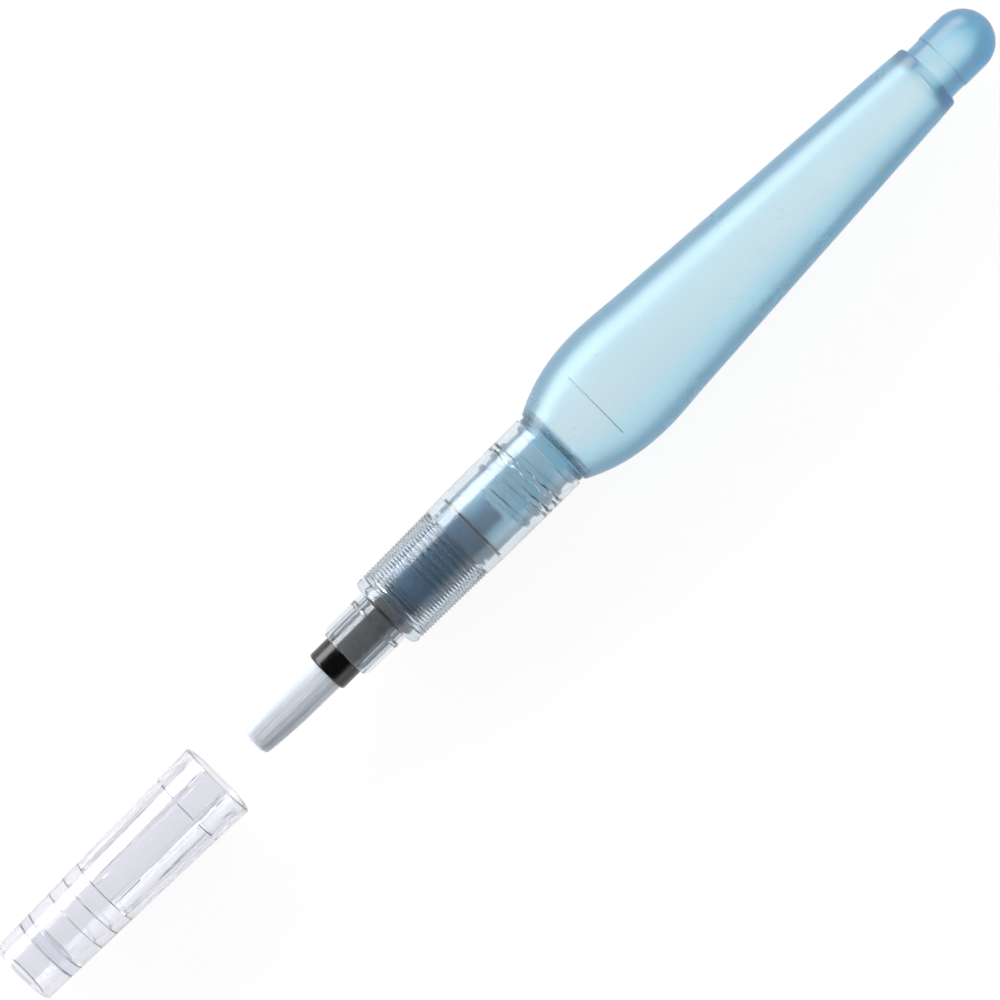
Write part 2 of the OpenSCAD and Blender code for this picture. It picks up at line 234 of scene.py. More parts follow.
def add(tree, kind, inputs=None, **settings):
    """Adds one node, sets its properties, and sets or links its inputs."""
    node = tree.nodes.new(kind)
    for name, value in settings.items():
        setattr(node, name, value)
    for key, value in (inputs or {}).items():
        if isinstance(value, bpy.types.Node):
            value = value.outputs[0]
        if isinstance(value, bpy.types.NodeSocket):
            tree.links.new(value, node.inputs[key])
        else:
            node.inputs[key].default_value = value
    return node


def start_tree(name, inputs):
    """A geometry tree with named inputs, and its input node."""
    tree = bpy.data.node_groups.new(name, "GeometryNodeTree")
    tree.interface.new_socket("Geometry", in_out="INPUT", socket_type="NodeSocketGeometry")
    for label, kind in inputs.items():
        tree.interface.new_socket(label, in_out="INPUT", socket_type="NodeSocket" + kind)
    tree.interface.new_socket("Geometry", in_out="OUTPUT", socket_type="NodeSocketGeometry")
    return tree, tree.nodes.new("NodeGroupInput")


def end_tree(tree, geometry, material):
    """Closes a tree: instances made real, then the material."""
    real = add(tree, "GeometryNodeRealizeInstances", {"Geometry": geometry})
    painted = add(tree, "GeometryNodeSetMaterial", {"Geometry": real, "Material": material})
    add(tree, "NodeGroupOutput", {"Geometry": painted})


def move_radially(tree, given, offset):
    """Moves each point away from the pen's axis by offset and closes the tree."""
    place = add(tree, "GeometryNodeInputPosition")
    flat = add(tree, "ShaderNodeVectorMath", {0: place, 1: (0, 1, 1)}, operation="MULTIPLY")
    outward = add(tree, "ShaderNodeVectorMath", {0: flat}, operation="NORMALIZE")
    step = add(tree, "ShaderNodeVectorMath", {0: outward, "Scale": offset}, operation="SCALE")
    moved = add(tree, "GeometryNodeSetPosition", {"Geometry": given.outputs["Geometry"], "Offset": step})
    end_tree(tree, moved, given.outputs["Material"])


def from_nearest(tree, count):
    """How far a count is from the nearest whole number, with and without its sign."""
    whole = add(tree, "ShaderNodeMath", {0: count}, operation="ROUND")
    off = add(tree, "ShaderNodeMath", {0: count, 1: whole}, operation="SUBTRACT")
    return off, add(tree, "ShaderNodeMath", {0: off}, operation="ABSOLUTE")


def thread_tree():
    """Raises a right-handed screw thread on the points that are marked for it."""
    tree, given = start_tree("Screw thread", {
        "Start": "Float", "Turns": "Float", "Pitch": "Float", "Height": "Float",
        "Base": "Float", "Top": "Float", "Material": "Material"})
    side = add(tree, "GeometryNodeInputNamedAttribute", {"Name": "thread"}, data_type="FLOAT")
    place = add(tree, "ShaderNodeSeparateXYZ", {0: add(tree, "GeometryNodeInputPosition")})
    angle = add(tree, "ShaderNodeMath", {0: place.outputs["Z"], 1: place.outputs["Y"]}, operation="ARCTAN2")
    turn = add(tree, "ShaderNodeMath", {0: angle, 1: math.tau}, operation="DIVIDE")
    along = add(tree, "ShaderNodeMath", {0: place.outputs["X"], 1: given.outputs["Start"]},
                operation="SUBTRACT")
    turns_in = add(tree, "ShaderNodeMath", {0: along, 1: given.outputs["Pitch"]}, operation="DIVIDE")
    phase = add(tree, "ShaderNodeMath", {0: turns_in, 1: turn}, operation="SUBTRACT")
    off, gap = from_nearest(tree, phase)
    aside = add(tree, "ShaderNodeMath", {0: gap, 1: given.outputs["Pitch"]}, operation="MULTIPLY")
    ridge = add(tree, "ShaderNodeMapRange", {
        "Value": aside, "From Min": given.outputs["Base"], "From Max": given.outputs["Top"]},
        interpolation_type="SMOOTHSTEP")
    # The ridge's own turn at this point, which fades it in and out
    own_turn = add(tree, "ShaderNodeMath", {0: turns_in, 1: off}, operation="SUBTRACT")
    fade_in = add(tree, "ShaderNodeMapRange", {"Value": own_turn, "From Max": THREAD_FADE})
    left = add(tree, "ShaderNodeMath", {0: given.outputs["Turns"], 1: own_turn}, operation="SUBTRACT")
    fade_out = add(tree, "ShaderNodeMapRange", {"Value": left, "From Max": THREAD_FADE})
    fade = add(tree, "ShaderNodeMath", {0: fade_in, 1: fade_out}, operation="MULTIPLY")
    shape = add(tree, "ShaderNodeMath", {0: ridge, 1: fade}, operation="MULTIPLY")
    height = add(tree, "ShaderNodeMath", {0: shape, 1: given.outputs["Height"]}, operation="MULTIPLY")
    move_radially(tree, given, add(tree, "ShaderNodeMath", {0: height, 1: side}, operation="MULTIPLY"))
    return tree


def ribs_tree():
    """Raises straight ribs to one radius, outwards or inwards as the points are marked."""
    tree, given = start_tree("Straight ribs", {
        "Ribs": "Float", "Phase": "Float", "Radius": "Float", "Top Angle": "Float", "Root Angle": "Float",
        "Start": "Float", "Start Ramp": "Float", "End": "Float", "End Ramp": "Float", "Material": "Material"})
    side = add(tree, "GeometryNodeInputNamedAttribute", {"Name": "ribs"}, data_type="FLOAT")
    position = add(tree, "GeometryNodeInputPosition")
    place = add(tree, "ShaderNodeSeparateXYZ", {0: position})
    flat = add(tree, "ShaderNodeVectorMath", {0: position, 1: (0, 1, 1)}, operation="MULTIPLY")
    radius = add(tree, "ShaderNodeVectorMath", {0: flat}, operation="LENGTH").outputs["Value"]
    angle = add(tree, "ShaderNodeMath", {0: place.outputs["Z"], 1: place.outputs["Y"]}, operation="ARCTAN2")
    turned = add(tree, "ShaderNodeMath", {0: angle, 1: given.outputs["Phase"]}, operation="SUBTRACT")
    spacing = add(tree, "ShaderNodeMath", {0: math.tau, 1: given.outputs["Ribs"]}, operation="DIVIDE")
    count = add(tree, "ShaderNodeMath", {0: turned, 1: spacing}, operation="DIVIDE")
    _, gap = from_nearest(tree, count)
    gap_angle = add(tree, "ShaderNodeMath", {0: gap, 1: spacing}, operation="MULTIPLY")
    across = add(tree, "ShaderNodeMapRange", {
        "Value": gap_angle, "From Min": given.outputs["Root Angle"], "From Max": given.outputs["Top Angle"]})
    from_start = add(tree, "ShaderNodeMath", {0: place.outputs["X"], 1: given.outputs["Start"]},
                     operation="SUBTRACT")
    rise = add(tree, "ShaderNodeMapRange", {"Value": from_start, "From Max": given.outputs["Start Ramp"]})
    to_end = add(tree, "ShaderNodeMath", {0: given.outputs["End"], 1: place.outputs["X"]},
                 operation="SUBTRACT")
    fall = add(tree, "ShaderNodeMapRange", {"Value": to_end, "From Max": given.outputs["End Ramp"]})
    share = add(tree, "ShaderNodeMath", {0: across, 1: rise}, operation="MULTIPLY")
    share = add(tree, "ShaderNodeMath", {0: share, 1: fall}, operation="MULTIPLY")
    room = add(tree, "ShaderNodeMath", {0: given.outputs["Radius"], 1: radius}, operation="SUBTRACT")
    room = add(tree, "ShaderNodeMath", {0: room, 1: side}, operation="MULTIPLY")
    room = add(tree, "ShaderNodeMath", {0: room, 1: 0.0}, operation="MAXIMUM")
    height = add(tree, "ShaderNodeMath", {0: room, 1: share}, operation="MULTIPLY")
    move_radially(tree, given, add(tree, "ShaderNodeMath", {0: height, 1: side}, operation="MULTIPLY"))
    return tree


def rings_tree():
    """Cuts evenly spaced grooves that leave round-topped rings between them."""
    tree, given = start_tree("Grip rings", {
        "Start": "Float", "Spacing": "Float", "Depth": "Float", "Material": "Material"})
    side = add(tree, "GeometryNodeInputNamedAttribute", {"Name": "rings"}, data_type="FLOAT")
    place = add(tree, "ShaderNodeSeparateXYZ", {0: add(tree, "GeometryNodeInputPosition")})
    along = add(tree, "ShaderNodeMath", {0: place.outputs["X"], 1: given.outputs["Start"]},
                operation="SUBTRACT")
    count = add(tree, "ShaderNodeMath", {0: along, 1: given.outputs["Spacing"]}, operation="DIVIDE")
    wave = add(tree, "ShaderNodeMath", {0: count, 1: math.pi}, operation="MULTIPLY")
    swing = add(tree, "ShaderNodeMath", {0: wave}, operation="SINE")
    crest = add(tree, "ShaderNodeMath", {0: swing}, operation="ABSOLUTE")
    below = add(tree, "ShaderNodeMath", {0: crest, 1: 1.0}, operation="SUBTRACT")
    height = add(tree, "ShaderNodeMath", {0: below, 1: given.outputs["Depth"]}, operation="MULTIPLY")
    move_radially(tree, given, add(tree, "ShaderNodeMath", {0: height, 1: side}, operation="MULTIPLY"))
    return tree


def tuft_tree():
    """Scatters tapered filaments over a disc and draws them into a blunt tuft along -X."""
    # A filament's tip to its root, how sharply the tuft's rim is rounded off, where its taper starts
    # and how it grows, how far apart filaments lie in the noise, and their waves along the tuft
    slimness, rim_power, taper_start, taper_power, apart, waves = 0.55, 6.0, 0.2, 3.0, 97.0, 2.2
    tree, given = start_tree("Filament tuft", {
        "Filaments": "Int", "Root": "Float", "Length": "Float", "Root Radius": "Float", "Tip Radius": "Float",
        "Filament Radius": "Float", "Raggedness": "Float", "Stray": "Float", "Seed": "Int",
        "Material": "Material"})
    index = add(tree, "GeometryNodeInputIndex")
    rank = add(tree, "ShaderNodeMath", {0: index, 1: 0.5}, operation="ADD")
    share = add(tree, "ShaderNodeMath", {0: rank, 1: given.outputs["Filaments"]}, operation="DIVIDE")
    spread = add(tree, "ShaderNodeMath", {0: share}, operation="SQRT")
    inner = add(tree, "ShaderNodeMath", {
        0: given.outputs["Root Radius"], 1: given.outputs["Filament Radius"]}, operation="SUBTRACT")
    radius = add(tree, "ShaderNodeMath", {0: spread, 1: inner}, operation="MULTIPLY")
    angle = add(tree, "ShaderNodeMath", {0: index, 1: GOLDEN_ANGLE}, operation="MULTIPLY")
    across = add(tree, "ShaderNodeMath", {0: add(tree, "ShaderNodeMath", {0: angle}, operation="COSINE"),
                                          1: radius}, operation="MULTIPLY")
    up = add(tree, "ShaderNodeMath", {0: add(tree, "ShaderNodeMath", {0: angle}, operation="SINE"),
                                      1: radius}, operation="MULTIPLY")
    place = add(tree, "ShaderNodeCombineXYZ", {"X": given.outputs["Root"], "Y": across, "Z": up})
    points = add(tree, "GeometryNodePoints", {"Count": given.outputs["Filaments"], "Position": place})
    tone = add(tree, "FunctionNodeRandomValue", {"Seed": given.outputs["Seed"]}, data_type="FLOAT").outputs[1]
    toned = add(tree, "GeometryNodeStoreNamedAttribute",
                {"Geometry": points, "Name": "tone", "Value": tone}, data_type="FLOAT", domain="POINT")
    own_seed = add(tree, "ShaderNodeMath", {0: given.outputs["Seed"], 1: 1.0}, operation="ADD")
    cut = add(tree, "FunctionNodeRandomValue", {"Seed": own_seed}, data_type="FLOAT").outputs[1]
    rim = add(tree, "ShaderNodeMath", {0: spread, 1: rim_power}, operation="POWER")
    cut = add(tree, "ShaderNodeMath", {0: cut, 1: rim}, operation="ADD")
    cut = add(tree, "ShaderNodeMath", {0: cut, 1: given.outputs["Raggedness"]}, operation="MULTIPLY")
    own_length = add(tree, "ShaderNodeMath", {0: given.outputs["Length"], 1: cut}, operation="SUBTRACT")
    tip = add(tree, "ShaderNodeMath", {0: given.outputs["Filament Radius"], 1: slimness}, operation="MULTIPLY")
    filament = add(tree, "GeometryNodeMeshCone", {
        "Vertices": 5, "Side Segments": 5, "Radius Top": tip,
        "Radius Bottom": given.outputs["Filament Radius"], "Depth": 1.0})
    laid = add(tree, "GeometryNodeInstanceOnPoints", {
        "Points": toned, "Instance": filament.outputs["Mesh"], "Rotation": (0, -math.pi / 2, 0),
        "Scale": add(tree, "ShaderNodeCombineXYZ", {"X": 1.0, "Y": 1.0, "Z": own_length})})
    real = add(tree, "GeometryNodeRealizeInstances", {"Geometry": laid})
    # The tuft's taper, and a small wander that grows towards the tips
    spot = add(tree, "ShaderNodeSeparateXYZ", {0: add(tree, "GeometryNodeInputPosition")})
    away = add(tree, "ShaderNodeMath", {0: given.outputs["Root"], 1: spot.outputs["X"]}, operation="SUBTRACT")
    along = add(tree, "ShaderNodeMath", {0: away, 1: given.outputs["Length"]}, operation="DIVIDE")
    narrowing = add(tree, "ShaderNodeMath", {0: given.outputs["Tip Radius"], 1: given.outputs["Root Radius"]},
                    operation="DIVIDE")
    drawn_in = add(tree, "ShaderNodeMapRange", {"Value": along, "From Min": taper_start})
    drawn_in = add(tree, "ShaderNodeMath", {0: drawn_in, 1: taper_power}, operation="POWER")
    taper = add(tree, "ShaderNodeMapRange", {"Value": drawn_in, "To Min": 1.0, "To Max": narrowing})
    own = add(tree, "GeometryNodeInputNamedAttribute", {"Name": "tone"}, data_type="FLOAT")
    row = add(tree, "ShaderNodeMath", {0: own, 1: apart}, operation="MULTIPLY")
    bend = add(tree, "ShaderNodeMath", {0: along, 1: waves}, operation="MULTIPLY")
    noise = add(tree, "ShaderNodeTexNoise", {
        "Vector": add(tree, "ShaderNodeCombineXYZ", {"X": row, "Y": bend, "Z": 0.0}), "Scale": 1.0})
    swerve = add(tree, "ShaderNodeVectorMath", {0: noise.outputs["Color"], 1: (0.5, 0.5, 0.5)},
                 operation="SUBTRACT")
    amount = add(tree, "ShaderNodeMath", {0: along, 1: given.outputs["Stray"]}, operation="MULTIPLY")
    wander = add(tree, "ShaderNodeVectorMath", {0: swerve, "Scale": amount}, operation="SCALE")
    side = add(tree, "ShaderNodeMath", {0: spot.outputs["Y"], 1: taper}, operation="MULTIPLY")
    rise = add(tree, "ShaderNodeMath", {0: spot.outputs["Z"], 1: taper}, operation="MULTIPLY")
    drawn = add(tree, "ShaderNodeCombineXYZ", {"X": spot.outputs["X"], "Y": side, "Z": rise})
    moved = add(tree, "GeometryNodeSetPosition", {"Geometry": real, "Position": drawn, "Offset": wander})
    end_tree(tree, moved, given.outputs["Material"])
    return tree


def apply_trees(piece, steps):
    """Runs trees on a piece in order and keeps the result as its plain mesh."""
    for tree, values in steps:
        modifier = piece.modifiers.new(tree.name, "NODES")
        modifier.node_group = tree
        identifiers = {item.name: item.identifier for item in tree.interface.items_tree
                       if item.item_type == "SOCKET" and item.in_out == "INPUT"}
        for label, value in values.items():
            modifier[identifiers[label]] = value
    graph = bpy.context.evaluated_depsgraph_get()
    mesh = bpy.data.meshes.new_from_object(piece.evaluated_get(graph), preserve_all_data_layers=True,
                                           depsgraph=graph)
    piece.modifiers.clear()
    piece.data = mesh


# Shells


def station(x, radius, **marks):
    """A round station."""
    return Station(x, radius, radius, **marks)


def run(x0, r0, x1, r1, steps, **marks):
    """Round stations in a straight row, both ends included."""
    return [station(x0 + (x1 - x0) * i / steps, r0 + (r1 - r0) * i / steps, **marks)
            for i in range(steps + 1)]


def arc(x, r, radius, start, end, steps=6, **marks):
    """Round stations on an arc about (x, r), from one angle in degrees to another."""
    angles = [math.radians(start + (end - start) * i / steps) for i in range(steps + 1)]
    return [station(x + radius * math.cos(a), r + radius * math.sin(a), **marks) for a in angles]


def even_angles(count):
    """Angles evenly round the pen."""
    return [math.tau * i / count for i in range(count)]


def rib_halves(size):
    """Half angles of a rib's top and of its root, which is wider by the mould's draft."""
    top = size.rib_width / 2 / size.rib_radius
    return top, 1.15 * top


def rib_angles(ribs, phase, top, root, between=12, across=4):
    """Angles round the pen that put points on every rib's edges."""
    spacing = math.tau / ribs
    crown = [-top + 2 * top * i / across for i in range(across + 1)]
    valley = [root + (spacing - 2 * root) * i / between for i in range(between + 1)]
    return [phase + rib * spacing + angle for rib in range(ribs) for angle in crown + valley]


def shell(name, stations, angles, looped=False):
    """A closed shell round the pen's axis: a loop of rings, or a chain between two poles."""
    rings = stations if looped else stations[1:-1]
    points = [(s.x, s.y * math.cos(a), s.z * math.sin(a)) for s in rings for a in angles]
    sides, count = len(angles), len(rings)
    faces = []
    for i in range(count if looped else count - 1):
        after = (i + 1) % count
        for j in range(sides):
            k = (j + 1) % sides
            faces.append((i * sides + j, i * sides + k, after * sides + k, after * sides + j))
    if not looped:
        points += [(stations[0].x, 0, 0), (stations[-1].x, 0, 0)]
        for j in range(sides):
            k = (j + 1) % sides
            faces.append((len(points) - 2, k, j))
            faces.append(((count - 1) * sides + j, (count - 1) * sides + k, len(points) - 1))
    mesh = bpy.data.meshes.new(name)
    mesh.from_pydata(points, [], faces)
    for mark in ("ribs", "rings", "thread"):
        values = [float(getattr(s, mark)) for s in rings for _ in angles]
        values += [0.0] * (len(points) - len(values))
        if any(values):
            mesh.attributes.new(mark, "FLOAT", "POINT").data.foreach_set("value", values)
    piece = bpy.data.objects.new(name, mesh)
    bpy.context.scene.collection.objects.link(piece)
    return piece


def finish_piece(piece, material, body, slot, *nodes):
    """Moves a piece's mesh to the axis, turns its faces out, and ties it to the frame."""
    mesh = piece.data
    mesh.transform(Matrix.Translation((0, 0, AXIS_Z)))
    work = bmesh.new()
    work.from_mesh(mesh)
    bmesh.ops.recalc_face_normals(work, faces=work.faces)
    work.to_mesh(mesh)
    work.free()
    mesh.shade_smooth()
    mesh.set_sharp_from_angle(angle=SHARP_ANGLE)
    mesh.materials.clear()
    mesh.materials.append(material)
    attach(piece, body)
    if nodes:
        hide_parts(*nodes)


def paint_node(node, material):
    """Gives a CAD node that keeps its shape a better material."""
    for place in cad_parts[node].material_slots:
        place.material = material


def reach(node):
    """Both ends of a node along the pen, and its radius."""
    low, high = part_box(node)
    return low.x, high.x, (high.y - low.y) / 2


# Materials


def start_material(name):
    """An empty material: its tree, its output and a texture coordinate node."""
    material = bpy.data.materials.new(name)
    material.use_nodes = True
    material.node_tree.nodes.clear()
    tree = material.node_tree
    output = tree.nodes.new("ShaderNodeOutputMaterial")
    return material, tree, output, add(tree, "ShaderNodeTexCoord").outputs["Object"]


def blown_polyethylene(settings):
    """LDPE, extrusion blow moulded: waxy and translucent, with a satin skin that blurs what is behind it,
    a faint orange peel, and a blue that gathers where the wall is seen edge on."""
    material, tree, output, place = start_material("LDPE, blow moulded, light blue")
    peel = add(tree, "ShaderNodeTexNoise", {"Vector": place, "Scale": 0.45 * PER_MM, "Detail": 2.0})
    cloud = add(tree, "ShaderNodeTexNoise", {"Vector": place, "Scale": 0.12 * PER_MM, "Detail": 3.0})
    bump = add(tree, "ShaderNodeBump", {"Height": peel, "Strength": 0.5, "Distance": 0.006 * MM})
    gloss = add(tree, "ShaderNodeMapRange", {"Value": cloud, "From Min": 0.3, "From Max": 0.7,
                                             "To Min": 0.26, "To Max": 0.34})
    shader = add(tree, "ShaderNodeBsdfPrincipled", {
        "Base Color": settings.haze, "Roughness": gloss, "IOR": 1.51,
        "Transmission Weight": 0.965, "Normal": bump})
    # Density 560 per metre: a millimetre of wall takes two fifths of the red and a tenth of the blue
    depth = add(tree, "ShaderNodeVolumeAbsorption", {"Color": settings.absorption, "Density": 560.0})
    tree.links.new(shader.outputs["BSDF"], output.inputs["Surface"])
    tree.links.new(depth.outputs["Volume"], output.inputs["Volume"])
    return material


def smoked_san(settings):
    """SAN, injection moulded and smoke tinted: hard, glossy and clear, darker with depth,
    with the faint ripple of a polished mould."""
    material, tree, output, place = start_material("SAN, injection moulded, smoke grey")
    ripple = add(tree, "ShaderNodeTexNoise", {"Vector": place, "Scale": 0.5 * PER_MM, "Detail": 2.0})
    handling = add(tree, "ShaderNodeTexNoise", {"Vector": place, "Scale": 0.22 * PER_MM, "Detail": 4.0})
    bump = add(tree, "ShaderNodeBump", {"Height": ripple, "Strength": 0.4, "Distance": 0.012 * MM})
    gloss = add(tree, "ShaderNodeMapRange", {"Value": handling, "From Min": 0.35, "From Max": 0.7,
                                             "To Min": 0.06, "To Max": 0.14})
    shader = add(tree, "ShaderNodeBsdfPrincipled", {
        "Base Color": settings.haze, "Roughness": gloss, "IOR": 1.57,
        "Transmission Weight": 0.978, "Normal": bump})
    depth = add(tree, "ShaderNodeVolumeAbsorption", {"Color": settings.absorption, "Density": 90.0})
    tree.links.new(shader.outputs["BSDF"], output.inputs["Surface"])
    tree.links.new(depth.outputs["Volume"], output.inputs["Volume"])
    return material


def clear_polystyrene(settings):
    """Polystyrene, injection moulded: water clear with a high gloss, a lavender cast in its thick
    edges, and fine draw marks along the way it slides out of the mould."""
    material, tree, output, place = start_material("Polystyrene, injection moulded, clear")
    marks_place = add(tree, "ShaderNodeMapping", {"Vector": place, "Scale": (0.04, 1.0, 1.0)})
    marks = add(tree, "ShaderNodeTexNoise", {"Vector": marks_place, "Scale": 2.0 * PER_MM, "Detail": 3.0})
    bump = add(tree, "ShaderNodeBump", {"Height": marks, "Strength": 0.8, "Distance": 0.03 * MM})
    gloss = add(tree, "ShaderNodeMapRange", {"Value": marks, "From Min": 0.3, "From Max": 0.75,
                                             "To Min": 0.03, "To Max": 0.09})
    shader = add(tree, "ShaderNodeBsdfPrincipled", {
        "Base Color": settings.haze, "Roughness": gloss, "IOR": 1.59,
        "Transmission Weight": 0.94, "Normal": bump})
    depth = add(tree, "ShaderNodeVolumeAbsorption", {"Color": settings.absorption, "Density": 90.0})
    tree.links.new(shader.outputs["BSDF"], output.inputs["Surface"])
    tree.links.new(depth.outputs["Volume"], output.inputs["Volume"])
    return material


def black_abs(settings):
    """ABS, injection moulded in black: semi gloss, with fine turned lines from its mould and
    a little dust in the gloss."""
    material, tree, output, place = start_material("ABS, injection moulded, black")
    lines_place = add(tree, "ShaderNodeMapping", {"Vector": place, "Scale": (0.03, 1.0, 1.0)})
    lines = add(tree, "ShaderNodeTexNoise", {"Vector": lines_place, "Scale": 2.4 * PER_MM, "Detail": 3.0})
    wear = add(tree, "ShaderNodeTexNoise", {"Vector": place, "Scale": 0.8 * PER_MM, "Detail": 5.0})
    bump = add(tree, "ShaderNodeBump", {"Height": lines, "Strength": 0.5, "Distance": 0.008 * MM})
    gloss = add(tree, "ShaderNodeMapRange", {"Value": wear, "From Min": 0.3, "From Max": 0.7,
                                             "To Min": 0.16, "To Max": 0.3})
    worn = tuple(min(1, 2.2 * c) for c in settings.holder[:3]) + (1,)
    colour = add(tree, "ShaderNodeMix", {0: wear, 6: settings.holder, 7: worn}, data_type="RGBA")
    shader = add(tree, "ShaderNodeBsdfPrincipled", {
        "Base Color": colour.outputs[2], "Roughness": gloss, "IOR": 1.53, "Normal": bump})
    tree.links.new(shader.outputs["BSDF"], output.inputs["Surface"])
    return material


def nylon_filament(settings):
    """Nylon, drawn and cut: milky and slightly glossy, each filament a shade of its own,
    with a fine streak along it."""
    material, tree, output, place = start_material("Nylon filament, drawn, white")
    tone = add(tree, "ShaderNodeAttribute", attribute_name="tone").outputs["Fac"]
    streak_place = add(tree, "ShaderNodeMapping", {"Vector": place, "Scale": (0.08, 1.0, 1.0)})
    streak = add(tree, "ShaderNodeTexNoise", {"Vector": streak_place, "Scale": 5.0 * PER_MM, "Detail": 2.0})
    share = add(tree, "ShaderNodeMath", {0: tone, 1: streak}, operation="MULTIPLY")
    share = add(tree, "ShaderNodeMapRange", {"Value": share, "From Min": 0.0, "From Max": 0.55})
    colour = add(tree, "ShaderNodeMix", {0: share, 6: settings.nylon_shade, 7: settings.nylon},
                 data_type="RGBA")
    bump = add(tree, "ShaderNodeBump", {"Height": streak, "Strength": 0.4, "Distance": 0.01 * MM})
    shader = add(tree, "ShaderNodeBsdfPrincipled", {
        "Base Color": colour.outputs[2], "Roughness": 0.36, "IOR": 1.53, "Normal": bump,
        "Subsurface Weight": 0.35, "Subsurface Radius": (1.0, 1.0, 1.0), "Subsurface Scale": 0.3 * MM})
    tree.links.new(shader.outputs["BSDF"], output.inputs["Surface"])
    return material


def opaque_part(name, colour, roughness, grain, depth, ior=1.5, stretch=1.0):
    """An opaque inner part: its colour mottled by a grain in millimetres that also roughens it.
    stretch below 1 draws the grain out along the pen."""
    contrast = 0.75
    material, tree, output, place = start_material(name)
    spot = add(tree, "ShaderNodeMapping", {"Vector": place, "Scale": (stretch, 1.0, 1.0)})
    grains = add(tree, "ShaderNodeTexNoise", {"Vector": spot, "Scale": PER_MM / grain, "Detail": 4.0})
    darker = tuple(contrast * c for c in colour[:3]) + (1,)
    mixed = add(tree, "ShaderNodeMix", {0: grains, 6: darker, 7: colour}, data_type="RGBA")
    bump = add(tree, "ShaderNodeBump", {"Height": grains, "Strength": 0.6, "Distance": depth * MM})
    gloss = add(tree, "ShaderNodeMapRange", {"Value": grains, "From Min": 0.3, "From Max": 0.7,
                                             "To Min": 0.85 * roughness, "To Max": 1.15 * roughness})
    shader = add(tree, "ShaderNodeBsdfPrincipled", {
        "Base Color": mixed.outputs[2], "Roughness": gloss, "IOR": ior, "Normal": bump})
    tree.links.new(shader.outputs["BSDF"], output.inputs["Surface"])
    return material


def studio_floor(settings):
    """Opal acrylic over a light table: near white, and lit a little from below."""
    material, tree, output, place = start_material("Opal acrylic, lit from below")
    grains = add(tree, "ShaderNodeTexNoise", {"Vector": place, "Scale": 0.02 * PER_MM, "Detail": 2.0})
    gloss = add(tree, "ShaderNodeMapRange", {"Value": grains, "To Min": 0.7, "To Max": 0.8})
    shader = add(tree, "ShaderNodeBsdfPrincipled", {
        "Base Color": (0.12, 0.12, 0.12, 1), "Roughness": gloss, "Specular IOR Level": 0.0,
        "Emission Color": settings.floor_colour, "Emission Strength": 0.9})
    tree.links.new(shader.outputs["BSDF"], output.inputs["Surface"])
    return material


# Outlines


def cap_stations(size):
    """The cap's half section, from the cavity's end wall round the mouth to the recess."""
    x0, x1, mouth_radius = reach("cap")

    def outside(x):
        return size.end_radius + (x - x0) / (x1 - x0) * (mouth_radius - size.end_radius)

    def wall_at(x):
        return outside(x) - size.wall

    cavity = x0 + size.recess_depth + size.divider
    steps = [x0 + size.first_step + i * size.step_gap for i in range(3)]
    mouth = x1 - size.mouth_zone
    ribs_start, ribs_end = steps[1], x1 - size.rib_setback
    corner, soft, slope = 0.4 * MM, 0.15 * MM, 0.2 * MM
    inner = [station(cavity, 0)]
    first = wall_at(cavity) - 3 * size.step_depth
    inner += run(cavity, corner, cavity, first - corner, 4)
    inner += arc(cavity + corner, first - corner, corner, 180, 90)
    edges = [cavity + 2 * corner] + steps
    for i in range(3):
        mark = -1 if edges[i] >= ribs_start else 0
        drop = size.step_depth * (3 - i)
        inner += run(edges[i] + slope, wall_at(edges[i]) - drop, edges[i + 1], wall_at(edges[i + 1]) - drop,
                     6, ribs=mark)
    inner += run(steps[2] + slope, wall_at(steps[2]), mouth, wall_at(mouth), 24, ribs=-1)
    inner += run(mouth + slope, wall_at(mouth) + size.step_depth, ribs_end, wall_at(ribs_end), 8, ribs=-1)
    rim = (outside(x1) - wall_at(x1)) / 2
    inner += run(ribs_end + soft / 2, wall_at(ribs_end), x1 - soft, wall_at(x1), 2)
    outer = arc(x1 - rim / 2, wall_at(x1) + rim / 2, rim / 2, -90, 0)
    outer += arc(x1 - rim, outside(x1) - rim, rim, 0, 90)
    outer += run(x1 - 2 * rim, outside(x1 - 2 * rim), x0 + size.edge, outside(x0 + size.edge), 30)
    outer += arc(x0 + size.edge, outside(x0) - size.edge, size.edge, 90, 180)
    bore = size.recess_radius
    recess = arc(x0 + soft, bore + soft, soft, 180, 270)
    floor_x = x0 + size.recess_depth
    recess += run(x0 + 2 * soft, bore, floor_x - corner, bore, 6)
    recess += arc(floor_x - corner, bore - corner, corner, 90, 0)
    recess += run(floor_x, bore - 2 * corner, floor_x, corner, 4)
    return inner + outer + recess + [station(floor_x, 0)]


